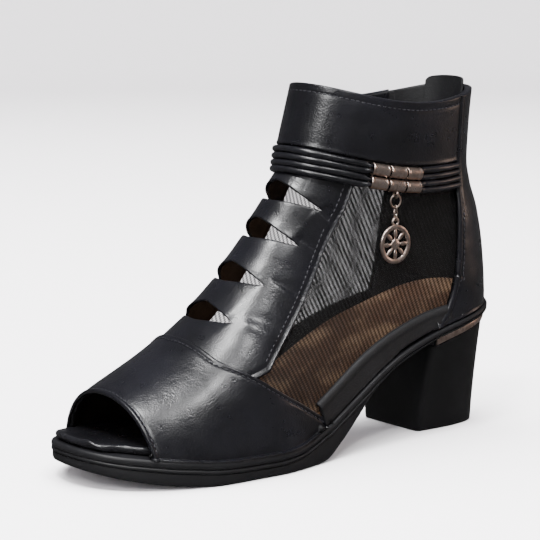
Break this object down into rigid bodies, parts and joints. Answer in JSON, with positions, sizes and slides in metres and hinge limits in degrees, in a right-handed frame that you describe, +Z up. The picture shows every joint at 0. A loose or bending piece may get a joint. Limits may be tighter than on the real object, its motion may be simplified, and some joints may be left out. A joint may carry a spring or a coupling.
{
  "type": "bootie sandal",
  "caption": "Left women's black leather bootie sandal with an open toe, cut-outs across the instep, mesh sides, a back zip, a hanging charm and a block heel.",
  "frame": {"origin": "middle of the heel's tread face, on the floor", "axes": "+X from the toe to the heel, +Y to the inner side of the left foot, +Z up"},
  "size_m": [0.2372, 0.0868, 0.1698],
  "materials": {
    "leather": "smooth black calf leather, satin gloss",
    "sole": "moulded black sole, satin",
    "heel_cover": "black leather-wrapped heel block",
    "sock": "brown leather sock lining, matt",
    "mesh": "sheer black mesh",
    "bronze": "dark bronze plating, polished",
    "zip_tape": "woven black zip tape"
  },
  "bodies": {
    "shoe": {"outsole": "sole", "insole": "sock", "heel_block": "heel_cover", "heel_trim": "bronze", "upper": "leather", "mesh_panel_outer": "mesh", "mesh_panel_inner": "mesh", "counter_outer": "leather", "counter_inner": "leather", "cuff": "leather", "ankle_cord_1": "leather", "ankle_cord_2": "leather", "ankle_cord_3": "leather", "ankle_cord_4": "leather", "bead_1": "bronze", "bead_2": "bronze", "bead_3": "bronze", "bead_4": "bronze", "bead_5": "bronze", "bead_6": "bronze", "zip_tape": "zip_tape", "zip_slider": "bronze", "zip_guard": "leather"},
    "charm_ring": {"charm_ring": "bronze"},
    "charm_drop": {"charm_link_1": "bronze", "charm_link_2": "bronze", "charm_link_3": "bronze", "charm_medallion": "bronze"},
    "zip_pull": {"zip_pull": "leather"}
  },
  "joints": [
    {"name": "charm_swing", "type": "hinge", "parent": "shoe", "child": "charm_ring", "pos_m": [-0.04495, -0.03129, 0.11852], "axis": [-1, 0, 0], "range_deg": [0, 100]},
    {"name": "charm_sway", "type": "hinge", "parent": "charm_ring", "child": "charm_drop", "pos_m": [-0.04495, -0.03129, 0.11242], "axis": [0, -1, 0], "range_deg": [-40, 40]},
    {"name": "zip_pull_swing", "type": "hinge", "parent": "shoe", "child": "zip_pull", "pos_m": [0.0246, 0, 0.16117], "axis": [0, -1, 0], "range_deg": [0, 150]}
  ]
}
